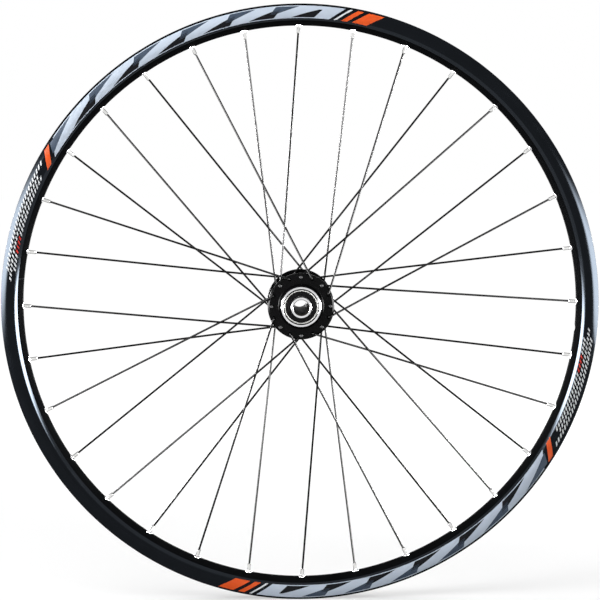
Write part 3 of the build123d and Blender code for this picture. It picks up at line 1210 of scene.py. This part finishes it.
# The cover ring's groove takes the black hub finish as painted shade
turned_piece("cover_ring_turned", cover_corners(), [polished, hub_black, dull_metal],
             "wheel", "polished_silver", "cover_ring", cover_finish)
for side, word, seat in ((RIGHT, "right", cover_bore), (LEFT, "left", bearing_radius)):
    turned_piece(f"{word}_seal_ribbed", on_end(side, seal_corners(seat - seal_fit)), [rubber],
                 "wheel", "rubber_black", f"{word}_dust_seal")
    turned_piece(f"{word}_cap_turned", on_end(side, cap_corners()), [polished, axle_bore_painted_shade, turned_barrel],
                 "axle", "polished_silver", f"{word}_end_cap", cap_finish)

# CAD nodes that keep their own shape
for name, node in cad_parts.items():
    # The axle takes the bore's dark finish, painted shade
    if name == "axle":
        finish = axle_bore_painted_shade
    elif name.endswith("seal"):
        finish = rubber
    else:
        finish = bearing_steel
    if not node.hide_render:
        node.data.materials.clear()
        node.data.materials.append(finish)


# Stage
def white_to_the_eye(tree):
    """1 for camera, glossy and transmission rays, and 0 for the rays that light the object."""
    path = add_node(tree, "LightPath")
    value = path.outputs["Is Camera Ray"]
    for name in ("Is Glossy Ray", "Is Transmission Ray"):
        value = math_node(tree, "MAXIMUM", value, path.outputs[name])
    return value


def add_floor():
    """Pale floor that keeps the shadow, and glows towards white to the eye."""
    signs = ((-1, -1), (1, -1), (1, 1), (-1, 1))
    corners = [Vector((x * floor_reach, y * floor_reach, -rim_radius)) for x, y in signs]
    floor = add_object("floor", mesh_of("floor", (corners, [(0, 1, 2, 3)])))
    material = bpy.data.materials.new("floor_white")
    material.use_nodes = True
    tree = material.node_tree
    tree.nodes.clear()
    diffuse = add_node(tree, "BsdfDiffuse", {"Color": (floor_grey, floor_grey, floor_grey, 1.0)})
    spot = add_node(tree, "TexCoord")
    distance = add_node(tree, "VectorMath", {0: spot.outputs["Object"]}, operation="LENGTH")
    level = map_range(tree, distance.outputs["Value"], glow_distance, glow_strength, "SMOOTHSTEP")
    strength = math_node(tree, "MULTIPLY", white_to_the_eye(tree), level)
    glow = add_node(tree, "Emission", {"Strength": strength})
    both = add_node(tree, "AddShader", {0: diffuse.outputs[0], 1: glow.outputs[0]})
    add_node(tree, "OutputMaterial", {"Surface": both.outputs[0]})
    floor.data.materials.append(material)


def add_world():
    """World that is white to the eye and only a weak light."""
    world = bpy.data.worlds.new("studio")
    world.use_nodes = True
    tree = world.node_tree
    background = tree.nodes["Background"]
    background.inputs["Color"].default_value = (1.0, 1.0, 1.0, 1.0)
    strength = map_range(tree, white_to_the_eye(tree), (0.0, 1.0), (world_light, world_white))
    tree.links.new(strength, background.inputs["Strength"])
    bpy.context.scene.world = world


def fade_to_edges(light):
    """Makes a panel brightest in its middle, as a softbox is."""
    light.use_nodes = True
    tree = light.node_tree
    geometry = add_node(tree, "NewGeometry")
    parts = add_node(tree, "SeparateXYZ", {"Vector": geometry.outputs["Parametric"]})

    # On a light, Parametric holds the shares of its length and height
    level = 1.0
    for axis in ("X", "Y"):
        from_middle = math_node(tree, "ABSOLUTE", math_node(tree, "SUBTRACT", parts.outputs[axis], 0.5))
        from_edge = math_node(tree, "SUBTRACT", 0.5, from_middle)
        fade = map_range(tree, from_edge, (0.0, panel_fade), (0.0, 1.0), "SMOOTHSTEP")
        level = math_node(tree, "MULTIPLY", level, fade)
    tree.links.new(level, tree.nodes["Emission"].inputs["Strength"])


def add_light(name, position, target, size, radiance, glossy):
    """Rectangular soft light of that radiance, which lights either the colours or the gloss."""
    light = bpy.data.lights.new(name, "AREA")
    light.shape = "RECTANGLE"
    light.size = size[0] * MM
    light.size_y = size[1] * MM
    light.energy = radiance * pi * light.size * light.size_y
    made = add_object(name, light)
    made.location = Vector(position) * MM
    towards = (Vector(target) - Vector(position)).normalized()
    made.rotation_mode = "QUATERNION"
    made.rotation_quaternion = towards.to_track_quat("-Z", "Y")
    if glossy:
        fade_to_edges(light)
    made.visible_camera = False
    made.visible_diffuse = not glossy
    made.visible_glossy = glossy


def add_lights():
    for name, position, target, size, radiance in keys:
        add_light(name, position, target, size, radiance, glossy=False)
    for word, side, height in panel_sides:
        for end, middle, length in panel_ends:
            position = (side * panel_distance, middle, height)
            target = (0, middle, height)
            size = (length, panel_height)
            add_light(f"{word}_{end}_panel", position, target, size, panel_radiance, glossy=True)


def add_camera():
    data = bpy.data.cameras.new("camera")
    data.sensor_width = sensor_width
    data.lens = focal_pixels / photo_pixels * sensor_width
    data.clip_start = clip_start
    data.clip_end = clip_end
    azimuth = radians(camera_azimuth)
    elevation = radians(camera_elevation)
    back = Vector((sin(azimuth) * cos(elevation), -cos(azimuth) * cos(elevation), sin(elevation)))
    right = Vector((0.0, 0.0, 1.0)).cross(back).normalized()
    up = back.cross(right)
    roll = radians(camera_roll)
    turned_right = right * cos(roll) + up * sin(roll)
    turned_up = up * cos(roll) - right * sin(roll)
    position = (aim_point + back * camera_distance) * MM
    turn = Matrix((turned_right, turned_up, back)).transposed().to_4x4()
    camera = add_object("camera", data)
    camera.matrix_world = Matrix.Translation(position) @ turn
    bpy.context.scene.camera = camera


add_floor()
add_world()
add_lights()
add_camera()
bpy.context.scene.view_settings.view_transform = "Standard"
